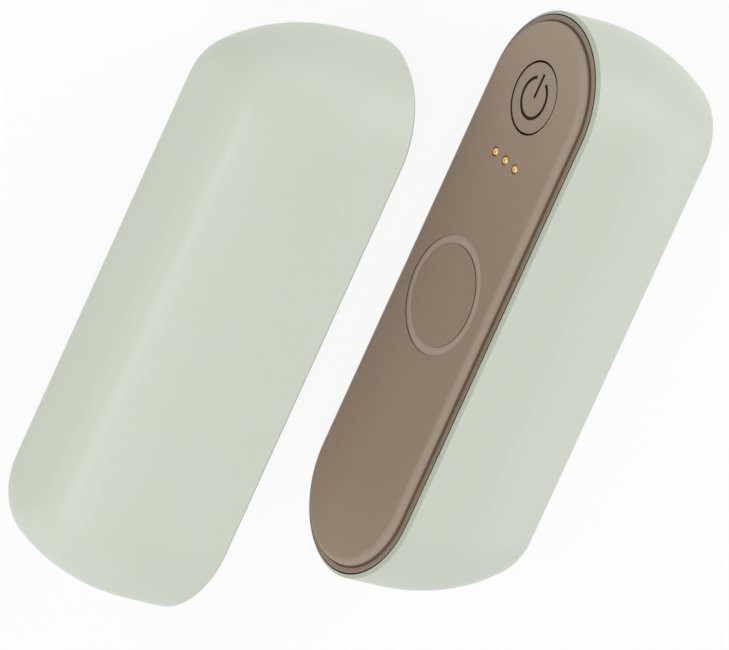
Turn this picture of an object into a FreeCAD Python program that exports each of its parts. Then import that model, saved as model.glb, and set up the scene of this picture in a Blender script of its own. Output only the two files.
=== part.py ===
import FreeCAD
import Part
import Sketcher

import math
import os
from types import SimpleNamespace

# A split hand warmer: two like halves that hold together face to face by magnets.
# Each half is drawn in its own frame. X runs from the shell's rim into the half, Y runs along the half
# towards the button, and Z runs across it. The halves then lie on one flank, side by side and face to face.
# The shell is sized from what it holds: a standard cell, the frame round it and the heater lining.

SIZES = {
    # cell, and the moulded cradle that carries it
    "cell_radius": 10.6,
    "cell_length": 70.2,
    "cell_clearance": 0.1,
    "cradle_wall": 1.2,
    "cradle_top": 1.2,
    "cradle_grip": 7.6,
    "cradle_end": 1.5,
    "tab_thick": 0.2,
    "tab_width": 6.0,
    "tab_reach": 3.0,
    "tab_room": 0.4,
    "pad_thick": 1.0,
    "pad_clearance": 0.1,
    "pad_width": 4.4,
    "pad_setback": 9.0,
    # heater lining inside the shell
    "film_thick": 0.2,
    "spreader_thick": 0.4,
    "lining_gap": 0.5,
    "lining_setback": 2.1,
    "side_room": 1.3,
    "lead_radius": 0.4,
    "lead_clearance": 0.15,
    "lead_overlap": 1.5,
    "lead_pitch": 3.0,
    "lead_offset": 12.0,
    "sensor_length": 3.0,
    "sensor_width": 1.6,
    "sensor_thick": 0.9,
    "sensor_gap": 1.0,
    # shell
    "lip_wall": 0.65,
    "seat_width": 1.35,
    "rim_round": 0.35,
    "flank_run": 0.7,
    "back_flat": 4.5,
    "back_corner": 6.5,
    "end_straight": 0.9,
    # face plate
    "plate_gap": 0.2,
    "plate_thick": 1.6,
    "plateau_rise": 1.5,
    "plateau_round": 1.3,
    "ledge_width": 1.2,
    "gasket_thick": 0.6,
    "ring_radius": 10.35,
    "ring_width": 1.5,
    "ring_depth": 0.25,
    "ring_drop": 0.5,
    # power button and its switch
    "button_out": 0.8,
    "button_radius": 6.1,
    "button_gap": 0.25,
    "button_sink": 0.08,
    "button_round": 0.2,
    "dish_width": 1.9,
    "dish_depth": 0.1,
    "flange_lip": 1.1,
    "flange_thick": 0.7,
    "flange_clearance": 0.1,
    "stem_radius": 1.5,
    "stem_length": 1.0,
    "symbol_radius": 3.5,
    "symbol_stroke": 0.5,
    "symbol_depth": 0.3,
    "symbol_bar": 4.4,
    "symbol_opening": 50.0,
    "switch_width": 6.0,
    "switch_height": 1.8,
    "plunger_radius": 1.7,
    "plunger_out": 0.5,
    "plunger_length": 1.5,
    "plunger_clearance": 0.06,
    "plunger_room": 0.6,
    "led_length": 1.6,
    "led_width": 0.8,
    "led_height": 0.6,
    "led_gap": 0.6,
    # magnet
    "magnet_radius": 8.4,
    "magnet_thick": 2.0,
    "yoke_lip": 0.6,
    "yoke_thick": 0.8,
    # charging contacts between the halves
    "contact_radius": 0.78,
    "contact_pitch": 3.45,
    "contact_clearance": 0.1,
    "contact_proud": 0.22,
    "block_wall": 1.0,
    "block_gap": 2.8,
    "block_clearance": 0.03,
    "pin_wall": 0.15,
    "pin_clearance": 0.06,
    "pin_sink": 0.04,
    "pin_engaged": 2.2,
    "spring_wire": 0.12,
    "spring_clearance": 0.05,
    "barrel_floor": 0.3,
    # control board
    "board_thick": 1.0,
    "board_gap": 0.6,
    "chip_gap": 2.0,
    "coil_width": 5.0,
    "coil_height": 2.2,
    "chip_width": 4.0,
    "chip_height": 0.9,
    "capacitor_width": 1.6,
    "capacitor_height": 1.2,
    # charging socket
    "socket_width": 8.94,
    "socket_height": 3.26,
    "socket_length": 7.35,
    "socket_wall": 0.28,
    "socket_recess": 0.8,
    "socket_clearance": 0.25,
    "tongue_width": 6.7,
    "tongue_thick": 0.7,
    "tongue_setback": 0.9,
    "tongue_root": 1.3,
    "tongue_clearance": 0.02,
    # screws and the posts that they hold to
    "screw_radius": 0.85,
    "screw_length": 8.0,
    "screw_head_radius": 1.6,
    "screw_head_height": 1.1,
    "screw_clearance": 0.15,
    "pilot_clearance": 0.03,
    "pilot_spare": 0.8,
    "post_radius": 2.3,
    "post_room": 1.2,
    "post_gap": 2.5,
    # how the two halves lie
    "rest_gap": 28.2,
    "rest_stagger": 12.3,
    # how far a cutting tool runs past the face that it cuts
    "overrun": 1.0,
}

doc = FreeCAD.newDocument("hand_warmer")
sheet = doc.addObject("Spreadsheet::Sheet", "Sizes")
for row, (name, number) in enumerate(SIZES.items(), start=1):
    sheet.set("A%d" % row, name)
    sheet.set("B%d" % row, str(number))
    sheet.setAlias("B%d" % row, name)
doc.recompute()


class Measure:
    """A size that knows both its value in millimetres and the sheet formula that it comes from."""

    def __init__(self, value, formula):
        self.value = value
        self.formula = formula

    def __add__(self, other):
        other = measure(other)
        return Measure(self.value + other.value, "(%s + %s)" % (self.formula, other.formula))

    def __sub__(self, other):
        other = measure(other)
        return Measure(self.value - other.value, "(%s - %s)" % (self.formula, other.formula))

    def __mul__(self, other):
        other = measure(other)
        return Measure(self.value * other.value, "(%s * %s)" % (self.formula, other.formula))

    def __truediv__(self, other):
        other = measure(other)
        return Measure(self.value / other.value, "(%s / %s)" % (self.formula, other.formula))

    def __neg__(self):
        return Measure(-self.value, "(0 - %s)" % self.formula)


def measure(thing):
    return thing if isinstance(thing, Measure) else Measure(float(thing), str(thing))


def least(first, second):
    return Measure(min(first.value, second.value), "min(%s; %s)" % (first.formula, second.formula))


mm = SimpleNamespace(**{name: Measure(number, "Sizes." + name) for name, number in SIZES.items()})
zero = measure(0)

# depths, from the rim plane into the half
plate_inside = mm.plate_thick - mm.plateau_rise
face = -mm.plateau_rise
flange_front = plate_inside + mm.flange_clearance
flange_back = flange_front + mm.flange_thick
plunger_front = flange_back + mm.stem_length
switch_front = plunger_front + mm.plunger_out
board_front = switch_front + mm.switch_height
board_back = board_front + mm.board_thick
cradle_back = board_back + mm.cradle_top
cell_axis = cradle_back + mm.cell_clearance + mm.cell_radius
cell_back = cell_axis + mm.cell_radius
lining_back = cell_back + mm.pad_clearance + mm.pad_thick
lip_depth = mm.plate_thick + mm.gasket_thick
lining_front = cradle_back + mm.lining_gap
flank_flat = lining_front + mm.flank_run

# wall thicknesses, from the outside in
shell_wall = mm.lip_wall + mm.plate_gap + mm.seat_width
film_outside = shell_wall + mm.spreader_thick
lining = film_outside + mm.film_thick
shell_depth = lining_back + lining

# outlines: every loop round the half is a slot shape with the same straight length
straight = mm.cell_length + mm.end_straight * 2
cradle_half = mm.cell_radius + mm.cell_clearance + mm.cradle_wall
half_width = cradle_half + mm.side_room + lining
half_length = straight / 2 + half_width
plate_half = half_width - mm.lip_wall - mm.plate_gap
plateau_half = plate_half - mm.ledge_width
board_half = half_width - shell_wall - mm.board_gap

# places along the half and across it
button_place = straight / 2 + mm.button_out
ring_place = -mm.ring_drop
flange_radius = mm.button_radius + mm.flange_lip
block_half = mm.contact_radius + mm.block_wall
contact_place = button_place - flange_radius - mm.block_gap - block_half
cradle_bore_half = mm.cell_length / 2 + mm.tab_thick + mm.tab_room
cradle_half_length = cradle_bore_half + mm.cradle_end
screw_place = cradle_half_length + mm.post_gap + mm.post_radius
screw_side = mm.socket_width / 2 + mm.post_room + mm.post_radius
socket_mouth = -(half_length - mm.socket_recess)
socket_inside = socket_mouth + mm.socket_length
socket_axis = board_back + mm.socket_height / 2
lead_side = half_width - lining - mm.lead_radius - mm.lead_clearance

PLANES = {"X": "YZ_Plane", "Y": "XZ_Plane", "Z": "XY_Plane"}
IN_PLANE = 1e-6
ROUND_SHARE = 0.9
HALVES = ("right", "left")
pieces = []


def bind(item, name, size):
    item.setExpression(name, measure(size).formula)


def place(item, half):
    """Lay a finished piece where its half rests: on the flank, with the two faces towards each other."""
    side = 1
    if half == "left":
        side = -1
        item.Placement = FreeCAD.Placement(FreeCAD.Vector(), FreeCAD.Rotation(FreeCAD.Vector(0, 1, 0), 180))
    bind(item, "Placement.Base.x", (mm.rest_gap / 2 + mm.plateau_rise) * side)
    bind(item, "Placement.Base.y", mm.rest_stagger / 2 * side)
    bind(item, "Placement.Base.z", half_width)
    pieces.append(item)


def new_body(name):
    body = doc.addObject("PartDesign::Body", name)
    body.Label = name
    body.AllowCompound = True
    return body


def new_piece(half, name):
    body = new_body(half + "_" + name)
    place(body, half)
    return body


def attach(body, item, axis, at):
    """Sit a feature on the body's own plane square to an axis, at a place (x, y, z) of the half."""
    planes = {feature.Role: feature for feature in body.Origin.OriginFeatures}
    item.AttachmentSupport = [(planes[PLANES[axis]], "")]
    item.MapMode = "FlatFace"
    x, y, z = [measure(value) for value in at]
    local = {"X": (y, z, x), "Y": (x, z, -y), "Z": (x, y, z)}[axis]
    for letter, size in zip("xyz", local):
        bind(item, "AttachmentOffset.Base." + letter, size)


def cylinder(body, axis, at, radius, length, cut=False):
    kind = "Subtractive" if cut else "Additive"
    item = body.newObject("PartDesign::%sCylinder" % kind, "%s_round" % body.Name)
    attach(body, item, axis, at)
    bind(item, "Radius", radius)
    bind(item, "Height", length)
    return item


def block(body, low, high, cut=False):
    """A box between two corners."""
    kind = "Subtractive" if cut else "Additive"
    item = body.newObject("PartDesign::%sBox" % kind, "%s_block" % body.Name)
    attach(body, item, "Z", low)
    for name, start, end in zip(("Length", "Width", "Height"), low, high):
        bind(item, name, measure(end) - measure(start))
    return item


def new_sketch(body, axis, at):
    sketch = body.newObject("Sketcher::SketchObject", "%s_sketch" % body.Name)
    attach(body, sketch, axis, at)
    return sketch


def constrain(sketch, size, *terms):
    """Add a constraint whose value follows a size."""
    index = sketch.addConstraint(Sketcher.Constraint(*terms, measure(size).value))
    name = "size_%d" % index
    sketch.renameConstraint(index, name)
    bind(sketch, "Constraints." + name, size)


def draw_line(sketch, start, end):
    points = [FreeCAD.Vector(u.value, v.value, 0) for u, v in (start, end)]
    return sketch.addGeometry(Part.LineSegment(*points), False)


def draw_arc(sketch, centre, radius, start_angle, end_angle):
    middle = FreeCAD.Vector(centre[0], centre[1], 0)
    circle = Part.Circle(middle, FreeCAD.Vector(0, 0, 1), radius)
    return sketch.addGeometry(Part.ArcOfCircle(circle, start_angle, end_angle), False)


def draw_circle(sketch, radius):
    circle = Part.Circle(FreeCAD.Vector(), FreeCAD.Vector(0, 0, 1), radius.value)
    index = sketch.addGeometry(circle, False)
    sketch.addConstraint(Sketcher.Constraint("Coincident", index, 3, -1, 1))
    constrain(sketch, radius, "Radius", index)


def draw_slot(sketch, radius, length):
    """A slot shape about the sketch's origin: two half rounds joined by two straights along the sketch's X."""
    reach = length / 2
    quarter = math.pi / 2
    top = draw_line(sketch, (reach, radius), (-reach, radius))
    far = draw_arc(sketch, (-reach.value, 0), radius.value, quarter, 3 * quarter)
    bottom = draw_line(sketch, (-reach, -radius), (reach, -radius))
    near = draw_arc(sketch, (reach.value, 0), radius.value, -quarter, quarter)
    loop = [(top, 2, far, 1), (far, 2, bottom, 1), (bottom, 2, near, 1), (near, 2, top, 1)]
    for joint in loop:
        sketch.addConstraint(Sketcher.Constraint("Tangent", *joint))
    sketch.addConstraint(Sketcher.Constraint("Horizontal", top))
    sketch.addConstraint(Sketcher.Constraint("Symmetric", far, 3, near, 3, -1, 1))
    constrain(sketch, radius, "Radius", near)
    constrain(sketch, length, "DistanceX", far, 3, near, 3)


def draw_wall(sketch, inset, front):
    """Half the shell's section, moved in by an inset: flank, large arc, small arc and flat back.

    Sketch X is the depth, and sketch Y runs from the middle out to the flank. The result is the numbers
    of the flank and the back line.
    """
    flank = half_width - inset
    depth = shell_depth - inset
    corner = mm.back_corner - inset
    back_run = (shell_depth - flank_flat).value
    back_inset = (half_width - mm.back_flat).value
    outer_corner = mm.back_corner.value
    sweep = back_inset ** 2 + back_run ** 2 - 2 * back_run * outer_corner
    outer_radius = sweep / (2 * (back_inset - outer_corner))
    meeting = math.atan2(outer_radius - back_inset, back_run - outer_corner)
    large_centre = (flank_flat.value, half_width.value - outer_radius)
    small_centre = (shell_depth.value - outer_corner, mm.back_flat.value)

    side = draw_line(sketch, (front, flank), (flank_flat, flank))
    large = draw_arc(sketch, large_centre, outer_radius - measure(inset).value, meeting, math.pi / 2)
    small = draw_arc(sketch, small_centre, corner.value, 0, meeting)
    back = draw_line(sketch, (depth, mm.back_flat), (depth, zero))
    sketch.addConstraint(Sketcher.Constraint("Horizontal", side))
    sketch.addConstraint(Sketcher.Constraint("Vertical", back))
    sketch.addConstraint(Sketcher.Constraint("Tangent", side, 2, large, 2))
    sketch.addConstraint(Sketcher.Constraint("Tangent", large, 1, small, 2))
    sketch.addConstraint(Sketcher.Constraint("Tangent", small, 1, back, 1))
    sketch.addConstraint(Sketcher.Constraint("PointOnObject", back, 2, -1))
    constrain(sketch, flank_flat, "DistanceX", -1, 1, side, 2)
    constrain(sketch, flank, "DistanceY", -1, 1, side, 2)
    constrain(sketch, depth, "DistanceX", -1, 1, back, 1)
    constrain(sketch, mm.back_flat, "DistanceY", -1, 1, back, 1)
    return side, back


def draw_section(sketch, inset, front, rim_round=None):
    """Half the section of a solid half: the wall's line, closed along the middle and across the front."""
    flank = half_width - inset
    start = front + rim_round if rim_round else front
    shoulder = flank - rim_round if rim_round else flank
    side, back = draw_wall(sketch, inset, start)
    axis = draw_line(sketch, (shell_depth - inset, zero), (front, zero))
    across = draw_line(sketch, (front, zero), (front, shoulder))
    sketch.addConstraint(Sketcher.Constraint("Coincident", back, 2, axis, 1))
    sketch.addConstraint(Sketcher.Constraint("Horizontal", axis))
    sketch.addConstraint(Sketcher.Constraint("Coincident", axis, 2, across, 1))
    sketch.addConstraint(Sketcher.Constraint("Vertical", across))
    constrain(sketch, front, "DistanceX", -1, 1, across, 1)
    if rim_round:
        middle = (start.value, shoulder.value)
        rim = draw_arc(sketch, middle, rim_round.value, math.pi / 2, math.pi)
        sketch.addConstraint(Sketcher.Constraint("Tangent", rim, 1, side, 1))
        sketch.addConstraint(Sketcher.Constraint("Tangent", rim, 2, across, 2))
        constrain(sketch, rim_round, "Radius", rim)
    else:
        sketch.addConstraint(Sketcher.Constraint("Coincident", across, 2, side, 1))


def draw_band(sketch, outside, inside, front):
    """Half the section of a thin lining that follows the wall, from a depth on the flank round to the back."""
    outer_side, outer_back = draw_wall(sketch, outside, front)
    inner_side, inner_back = draw_wall(sketch, inside, front)
    edge = draw_line(sketch, (front, half_width - outside), (front, half_width - inside))
    middle = draw_line(sketch, (shell_depth - outside, zero), (shell_depth - inside, zero))
    for joint in ((edge, 1, outer_side, 1), (edge, 2, inner_side, 1),
                  (middle, 1, outer_back, 2), (middle, 2, inner_back, 2)):
        sketch.addConstraint(Sketcher.Constraint("Coincident", *joint))
    sketch.addConstraint(Sketcher.Constraint("Vertical", edge))
    constrain(sketch, front, "DistanceX", -1, 1, edge, 1)


def pad(body, sketch, length, reverse=False):
    item = body.newObject("PartDesign::Pad", "%s_pad" % body.Name)
    item.Profile = sketch
    item.Reversed = reverse
    bind(item, "Length", length)
    return item


def pocket(body, sketch, depth, reverse=False):
    item = body.newObject("PartDesign::Pocket", "%s_pocket" % body.Name)
    item.Profile = sketch
    item.Reversed = reverse
    bind(item, "Length", depth)
    return item


def mirror(body, feature, axis):
    """Repeat a feature on the other side of the body's own plane square to an axis."""
    planes = {item.Role: item for item in body.Origin.OriginFeatures}
    item = body.newObject("PartDesign::Mirrored", "%s_mirror" % body.Name)
    item.Originals = [feature]
    item.MirrorPlane = (planes[PLANES[axis]], [""])
    body.Tip = item
    return item


def slot_plate(body, start, radius, thick):
    """A flat slot-shaped plate, square to the depth, as long as the half's straight plus two radii."""
    sketch = new_sketch(body, "X", (start, zero, zero))
    draw_slot(sketch, radius, straight)
    return pad(body, sketch, thick)


def slot_pocket(body, start, radius, depth):
    """A slot-shaped recess cut from a depth back towards the rim."""
    sketch = new_sketch(body, "X", (start, zero, zero))
    draw_slot(sketch, radius, straight)
    return pocket(body, sketch, depth)


def half_solid(body, inset, front, rim_round=None):
    """A whole half as one solid: the section drawn along the straight and turned round both ends."""
    sketch = new_sketch(body, "Y", (zero, straight / 2, zero))
    draw_section(sketch, inset, measure(front), rim_round)
    middle = pad(body, sketch, straight)
    mirror(body, middle, "Z")
    end = body.newObject("PartDesign::Revolution", "%s_end" % body.Name)
    end.Profile = sketch
    end.ReferenceAxis = (sketch, ["H_Axis"])
    end.Angle = 180
    end.Reversed = True
    mirror(body, end, "Y")


def screw_places():
    return [(screw_place * y, screw_side * z) for y in (-1, 1) for z in (-1, 1)]


def contact_places():
    return [mm.contact_pitch * step for step in (-1, 0, 1)]


def outer_shell(half):
    """Moulded tray: rounded back, a thin lip round the plate, a seat under it, and four screw posts."""
    outside = new_body(half + "_shell_outside")
    half_solid(outside, zero, zero, mm.rim_round)

    inside = new_body(half + "_shell_inside")
    half_solid(inside, shell_wall, -mm.overrun)
    for y, z in screw_places():
        cylinder(inside, "X", (cradle_back, y, z), mm.post_radius, shell_depth, cut=True)
    pilot_depth = mm.screw_length + board_front - cradle_back + mm.pilot_spare
    for y, z in screw_places():
        start = (cradle_back - mm.overrun, y, z)
        cylinder(inside, "X", start, mm.screw_radius + mm.pilot_clearance, pilot_depth + mm.overrun)
    slot_plate(inside, -mm.overrun, half_width - mm.lip_wall, lip_depth + mm.overrun)

    mouth = new_sketch(inside, "Y", (socket_axis, -half_length - mm.overrun, zero))
    draw_socket(mouth, mm.socket_clearance)
    pad(inside, mouth, shell_wall + mm.overrun * 2, reverse=True)

    shell = doc.addObject("Part::Cut", half + "_outer_shell")
    shell.Label = half + "_outer_shell"
    shell.Base = outside
    shell.Tool = inside
    place(shell, half)


def draw_socket(sketch, grow):
    """The charging socket's slot-shaped outline, wide across the half, grown by a margin."""
    radius = mm.socket_height / 2 + grow
    reach = (mm.socket_width - mm.socket_height) / 2
    quarter = math.pi / 2
    left = draw_line(sketch, (-radius, reach), (-radius, -reach))
    low = draw_arc(sketch, (0, -reach.value), radius.value, 2 * quarter, 4 * quarter)
    right = draw_line(sketch, (radius, -reach), (radius, reach))
    high = draw_arc(sketch, (0, reach.value), radius.value, 0, 2 * quarter)
    for joint in ((left, 2, low, 1), (low, 2, right, 1), (right, 2, high, 1), (high, 2, left, 1)):
        sketch.addConstraint(Sketcher.Constraint("Tangent", *joint))
    sketch.addConstraint(Sketcher.Constraint("Vertical", left))
    sketch.addConstraint(Sketcher.Constraint("Symmetric", low, 3, high, 3, -1, 1))
    constrain(sketch, radius, "Radius", high)
    constrain(sketch, reach * 2, "DistanceY", low, 3, high, 3)


def round_front(body, depth, radius):
    """Round every edge of the body that lies in the plane at a depth."""
    doc.recompute()
    base = body.Tip
    names = []
    for number, edge in enumerate(base.Shape.Edges, start=1):
        box = edge.BoundBox
        if max(abs(box.XMin - depth.value), abs(box.XMax - depth.value)) < IN_PLANE:
            names.append("Edge%d" % number)
    item = body.newObject("PartDesign::Fillet", "%s_edge" % body.Name)
    item.Base = (base, names)
    bind(item, "Radius", radius)


def face_plate(half):
    """Moulded plate: a ledge level with the rim and a raised middle, hollow behind to an even wall."""
    plate = new_piece(half, "face_plate")
    slot_plate(plate, zero, plate_half, mm.plate_thick)
    slot_plate(plate, face, plateau_half, mm.plateau_rise)
    round_front(plate, face, least(mm.plateau_round, mm.plateau_rise * ROUND_SHARE))
    slot_pocket(plate, mm.plate_thick, plateau_half - mm.plate_thick, mm.plateau_rise)

    ring = new_sketch(plate, "X", (face, ring_place, zero))
    draw_circle(ring, mm.ring_radius)
    draw_circle(ring, mm.ring_radius - mm.ring_width)
    pocket(plate, ring, mm.ring_depth, reverse=True)

    hole_radius = mm.button_radius + mm.button_gap
    dish = plate.newObject("PartDesign::SubtractiveCone", "%s_dish" % plate.Name)
    attach(plate, dish, "X", (face, button_place, zero))
    bind(dish, "Radius1", hole_radius + mm.dish_width)
    bind(dish, "Radius2", hole_radius)
    bind(dish, "Height", mm.dish_depth)
    through = mm.plate_thick + mm.overrun * 2
    cylinder(plate, "X", (face - mm.overrun, button_place, zero), hole_radius, through, cut=True)
    for z in contact_places():
        start = (face - mm.overrun, contact_place, z)
        cylinder(plate, "X", start, mm.contact_radius + mm.contact_clearance, through, cut=True)


def face_gasket(half):
    """Adhesive foam loop between the plate's edge and the shell's seat."""
    gasket = new_piece(half, "face_gasket")
    slot_plate(gasket, mm.plate_thick, plate_half, mm.gasket_thick)
    slot_pocket(gasket, lip_depth, half_width - shell_wall, mm.gasket_thick)


def power_button(half):
    """Round cap with a flange behind the plate, a stem to the switch and a cut power symbol."""
    button = new_piece(half, "power_button")
    front = face + mm.dish_depth + mm.button_sink
    at = (front, button_place, zero)
    cylinder(button, "X", at, mm.button_radius, flange_back - front)
    round_front(button, front, mm.button_round)
    cylinder(button, "X", (flange_front, button_place, zero), flange_radius, mm.flange_thick)
    cylinder(button, "X", (flange_back, button_place, zero), mm.stem_radius, mm.stem_length)

    symbol = new_sketch(button, "X", at)
    outer = mm.symbol_radius + mm.symbol_stroke / 2
    inner = mm.symbol_radius - mm.symbol_stroke / 2
    half_opening = math.radians(mm.symbol_opening.value / 2)
    full_turn = 2 * math.pi
    draw_ring_part(symbol, outer, inner, half_opening, full_turn - half_opening)
    draw_bar(symbol, mm.symbol_bar, mm.symbol_stroke)
    pocket(button, symbol, mm.symbol_depth, reverse=True)


def draw_ring_part(sketch, outer, inner, start_angle, end_angle):
    """Part of a ring about the sketch's origin, open round the sketch's X axis."""
    far = draw_arc(sketch, (0, 0), outer.value, start_angle, end_angle)
    near = draw_arc(sketch, (0, 0), inner.value, start_angle, end_angle)
    ends = []
    for angle in (start_angle, end_angle):
        points = [FreeCAD.Vector(size.value * math.cos(angle), size.value * math.sin(angle), 0)
                  for size in (inner, outer)]
        ends.append(sketch.addGeometry(Part.LineSegment(*points), False))
    for position, end in enumerate(ends, start=1):
        sketch.addConstraint(Sketcher.Constraint("Coincident", end, 1, near, position))
        sketch.addConstraint(Sketcher.Constraint("Coincident", end, 2, far, position))
    for arc, size in ((far, outer), (near, inner)):
        sketch.addConstraint(Sketcher.Constraint("Coincident", arc, 3, -1, 1))
        constrain(sketch, size, "Radius", arc)


def draw_bar(sketch, length, width):
    """A bar from the sketch's origin along its X axis."""
    reach = width / 2
    corners = [(zero, -reach), (length, -reach), (length, reach), (zero, reach)]
    sides = [draw_line(sketch, corners[i], corners[(i + 1) % 4]) for i in range(4)]
    for i in range(4):
        sketch.addConstraint(Sketcher.Constraint("Coincident", sides[i], 2, sides[(i + 1) % 4], 1))
        kind = "Horizontal" if i % 2 == 0 else "Vertical"
        sketch.addConstraint(Sketcher.Constraint(kind, sides[i]))
    sketch.addConstraint(Sketcher.Constraint("Symmetric", sides[3], 1, sides[3], 2, -1, 1))
    constrain(sketch, length, "DistanceX", sides[0], 1, sides[0], 2)
    constrain(sketch, width, "DistanceY", sides[1], 1, sides[1], 2)


def tact_switch(half):
    """Square switch on the board, with a round plunger that the button's stem pushes."""
    body = new_piece(half, "switch_body")
    reach = mm.switch_width / 2
    block(body, (switch_front, button_place - reach, -reach), (board_front, button_place + reach, reach))
    bore_depth = mm.plunger_length - mm.plunger_out + mm.plunger_room
    bore_start = (switch_front - mm.overrun, button_place, zero)
    bore_radius = mm.plunger_radius + mm.plunger_clearance
    cylinder(body, "X", bore_start, bore_radius, bore_depth + mm.overrun, cut=True)

    plunger = new_piece(half, "switch_plunger")
    cylinder(plunger, "X", (plunger_front, button_place, zero), mm.plunger_radius, mm.plunger_length)

    led = new_piece(half, "indicator_led")
    edge = button_place + reach + mm.led_gap
    block(led, (board_front - mm.led_height, edge, -mm.led_length / 2),
          (board_front, edge + mm.led_width, mm.led_length / 2))


def magnet_and_yoke(half):
    """Disc magnet glued behind the ring, with a steel disc on its back."""
    magnet = new_piece(half, "magnet")
    cylinder(magnet, "X", (plate_inside, ring_place, zero), mm.magnet_radius, mm.magnet_thick)
    yoke = new_piece(half, "magnet_yoke")
    start = plate_inside + mm.magnet_thick
    cylinder(yoke, "X", (start, ring_place, zero), mm.magnet_radius + mm.yoke_lip, mm.yoke_thick)


def contact_block(half):
    """Insulating block between plate and board, bored for the three contacts."""
    holder = new_piece(half, "contact_block")
    side = mm.contact_pitch + block_half
    block(holder, (plate_inside, contact_place - block_half, -side),
          (board_front, contact_place + block_half, side))
    for z in contact_places():
        start = (plate_inside - mm.overrun, contact_place, z)
        through = board_front - plate_inside + mm.overrun * 2
        cylinder(holder, "X", start, mm.contact_radius + mm.block_clearance, through, cut=True)


def domed_pin(body, at, radius, length):
    """A round pin along the depth, turned with a half-ball tip at its front."""
    sketch = new_sketch(body, "Z", at)
    tip = draw_arc(sketch, (radius.value, 0), radius.value, math.pi / 2, math.pi)
    side = draw_line(sketch, (radius, radius), (length, radius))
    foot = draw_line(sketch, (length, radius), (length, zero))
    axis = draw_line(sketch, (length, zero), (zero, zero))
    sketch.addConstraint(Sketcher.Constraint("Tangent", tip, 1, side, 1))
    sketch.addConstraint(Sketcher.Constraint("Coincident", side, 2, foot, 1))
    sketch.addConstraint(Sketcher.Constraint("Coincident", foot, 2, axis, 1))
    sketch.addConstraint(Sketcher.Constraint("Coincident", axis, 2, tip, 2))
    sketch.addConstraint(Sketcher.Constraint("Coincident", tip, 2, -1, 1))
    sketch.addConstraint(Sketcher.Constraint("Horizontal", side))
    sketch.addConstraint(Sketcher.Constraint("Vertical", foot))
    sketch.addConstraint(Sketcher.Constraint("Horizontal", axis))
    constrain(sketch, radius, "Radius", tip)
    constrain(sketch, length, "DistanceX", -1, 1, axis, 1)
    item = body.newObject("PartDesign::Revolution", "%s_turned" % body.Name)
    item.Profile = sketch
    item.ReferenceAxis = (sketch, ["H_Axis"])
    item.Angle = 360


def contact_pads():
    """Right half: three fixed gold studs with domed heads, which stand a little proud of the face."""
    studs = new_piece("right", "contact_pads")
    front = face - mm.contact_proud
    for z in contact_places():
        domed_pin(studs, (front, contact_place, z), mm.contact_radius, board_front - front)


def contact_pins():
    """Left half: three sprung pins. Each is a domed plunger on a spring in a closed tube."""
    barrels = new_piece("left", "pin_barrels")
    plungers = new_piece("left", "contact_pins")
    springs = new_piece("left", "pin_springs")
    bore = mm.contact_radius - mm.pin_wall
    plunger_radius = bore - mm.pin_clearance
    tip = face + mm.pin_sink
    foot = plate_inside + mm.pin_engaged
    floor = board_front - mm.barrel_floor
    spring_radius = bore - mm.spring_clearance
    for z in contact_places():
        cylinder(barrels, "X", (plate_inside, contact_place, z), mm.contact_radius, board_front - plate_inside)
        domed_pin(plungers, (tip, contact_place, z), plunger_radius, foot - tip)
        cylinder(springs, "X", (foot, contact_place, z), spring_radius, floor - foot)
    for z in contact_places():
        start = (plate_inside - mm.overrun, contact_place, z)
        cylinder(barrels, "X", start, bore, floor - plate_inside + mm.overrun, cut=True)
        start = (foot - mm.overrun, contact_place, z)
        inside = spring_radius - mm.spring_wire
        cylinder(springs, "X", start, inside, floor - foot + mm.overrun * 2, cut=True)


def control_board(half):
    """Circuit board over the cradle, and the coil, chips and capacitors on its front."""
    board = new_piece(half, "control_board")
    slot_plate(board, board_front, board_half, mm.board_thick)
    for y, z in screw_places():
        start = (board_front - mm.overrun, y, z)
        hole = mm.screw_radius + mm.screw_clearance
        cylinder(board, "X", start, hole, mm.board_thick + mm.overrun * 2, cut=True)

    chips = new_piece(half, "board_chips")
    y = ring_place - mm.magnet_radius - mm.yoke_lip
    for width, height in ((mm.coil_width, mm.coil_height), (mm.chip_width, mm.chip_height),
                          (mm.capacitor_width, mm.capacitor_height)):
        high = y - mm.chip_gap
        y = high - width
        block(chips, (board_front - height, y, -width / 2), (board_front, high, width / 2))


def charging_socket(half):
    """Metal socket on the board's back, its mouth in the shell's bottom end, with a tongue inside."""
    shell = new_piece(half, "usb_socket")
    outline = new_sketch(shell, "Y", (socket_axis, socket_mouth, zero))
    draw_socket(outline, zero)
    draw_socket(outline, -mm.socket_wall)
    pad(shell, outline, mm.socket_length, reverse=True)

    tongue = new_piece(half, "usb_tongue")
    root = new_sketch(tongue, "Y", (socket_axis, socket_inside - mm.tongue_root, zero))
    draw_socket(root, -(mm.socket_wall + mm.tongue_clearance))
    pad(tongue, root, mm.tongue_root, reverse=True)
    reach = mm.tongue_width / 2
    half_thick = mm.tongue_thick / 2
    block(tongue, (socket_axis - half_thick, socket_mouth + mm.tongue_setback, -reach),
          (socket_axis + half_thick, socket_inside - mm.tongue_root / 2, reach))


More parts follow.
